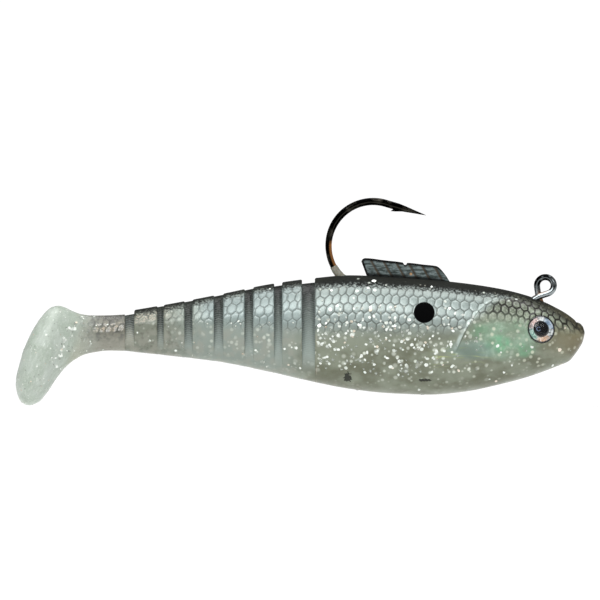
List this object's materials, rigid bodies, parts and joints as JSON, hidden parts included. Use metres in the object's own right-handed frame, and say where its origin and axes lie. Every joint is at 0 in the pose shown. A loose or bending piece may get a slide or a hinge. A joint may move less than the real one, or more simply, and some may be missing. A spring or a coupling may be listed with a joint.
{
  "type": "swimbait",
  "caption": "Soft-plastic paddle-tail fishing lure on a weighted jig hook, with a ribbed tail that swings, domed eyes, a small back fin and a wire line tie.",
  "frame": {"origin": "centre of the line tie's ring, on the lure's middle plane", "axes": "+X to the nose, +Y to the lure's left side, +Z to its back"},
  "size_m": [0.1023, 0.013, 0.0372],
  "materials": {
    "soft_body": "satin",
    "soft_paddle": "satin",
    "soft_fin": "satin",
    "hook_steel": "gloss",
    "tie_wire": "gloss",
    "lead": "matte",
    "flash_foil": "gloss",
    "eye_pad": "matte",
    "eye_foil": "gloss",
    "eye_pupil": "gloss",
    "eye_lens": "polished"
  },
  "bodies": {
    "trunk_body": {"trunk": "soft_body", "jig_hook": "hook_steel", "line_tie": "tie_wire", "lead_keel": "lead", "flash_foil_left": "flash_foil", "eye_pad_left": "eye_pad", "eye_foil_left": "eye_foil", "eye_pupil_left": "eye_pupil", "eye_lens_left": "eye_lens", "flash_foil_right": "flash_foil", "eye_pad_right": "eye_pad", "eye_foil_right": "eye_foil", "eye_pupil_right": "eye_pupil", "eye_lens_right": "eye_lens"},
    "rib_1_body": {"rib_1": "soft_body"},
    "rib_2_body": {"rib_2": "soft_body"},
    "rib_3_body": {"rib_3": "soft_body"},
    "rib_4_body": {"rib_4": "soft_body"},
    "rib_5_body": {"rib_5": "soft_body"},
    "rib_6_body": {"rib_6": "soft_body"},
    "tail_stalk_body": {"tail_stalk": "soft_body"},
    "tail_paddle_body": {"tail_paddle": "soft_paddle"},
    "dorsal_fin_body": {"dorsal_fin": "soft_fin"}
  },
  "joints": [
    {"name": "rib_1_flex", "type": "hinge", "parent": "trunk_body", "child": "rib_1_body", "pos_m": [-0.04265, 0, -0.00821], "axis": [0, 0, 1], "range_deg": [-12, 12], "stiffness_Nm_per_rad": 0.024},
    {"name": "rib_2_flex", "type": "hinge", "parent": "rib_1_body", "child": "rib_2_body", "pos_m": [-0.0481, 0, -0.00782], "axis": [0, 0, 1], "range_deg": [-12, 12], "stiffness_Nm_per_rad": 0.027},
    {"name": "rib_3_flex", "type": "hinge", "parent": "rib_2_body", "child": "rib_3_body", "pos_m": [-0.05335, 0, -0.00769], "axis": [0, 0, 1], "range_deg": [-12, 12], "stiffness_Nm_per_rad": 0.016},
    {"name": "rib_4_flex", "type": "hinge", "parent": "rib_3_body", "child": "rib_4_body", "pos_m": [-0.0588, 0, -0.00763], "axis": [0, 0, 1], "range_deg": [-12, 12], "stiffness_Nm_per_rad": 0.0086},
    {"name": "rib_5_flex", "type": "hinge", "parent": "rib_4_body", "child": "rib_5_body", "pos_m": [-0.0642, 0, -0.00783], "axis": [0, 0, 1], "range_deg": [-12, 12], "stiffness_Nm_per_rad": 0.0054},
    {"name": "rib_6_flex", "type": "hinge", "parent": "rib_5_body", "child": "rib_6_body", "pos_m": [-0.06925, 0, -0.00801], "axis": [0, 0, 1], "range_deg": [-12, 12], "stiffness_Nm_per_rad": 0.0036},
    {"name": "stalk_flex", "type": "hinge", "parent": "rib_6_body", "child": "tail_stalk_body", "pos_m": [-0.0748, 0, -0.00846], "axis": [0, 0, 1], "range_deg": [-12, 12], "stiffness_Nm_per_rad": 0.001},
    {"name": "paddle_flex", "type": "hinge", "parent": "tail_stalk_body", "child": "tail_paddle_body", "pos_m": [-0.0826, 0, -0.00884], "axis": [0, 0, 1], "range_deg": [-20, 20], "stiffness_Nm_per_rad": 0.001},
    {"name": "dorsal_fin_flex", "type": "hinge", "parent": "trunk_body", "child": "dorsal_fin_body", "pos_m": [-0.02465, 0, 0.0013], "axis": [0.9979, 0, -0.0652], "range_deg": [-25, 25], "stiffness_Nm_per_rad": 0.00023}
  ]
}
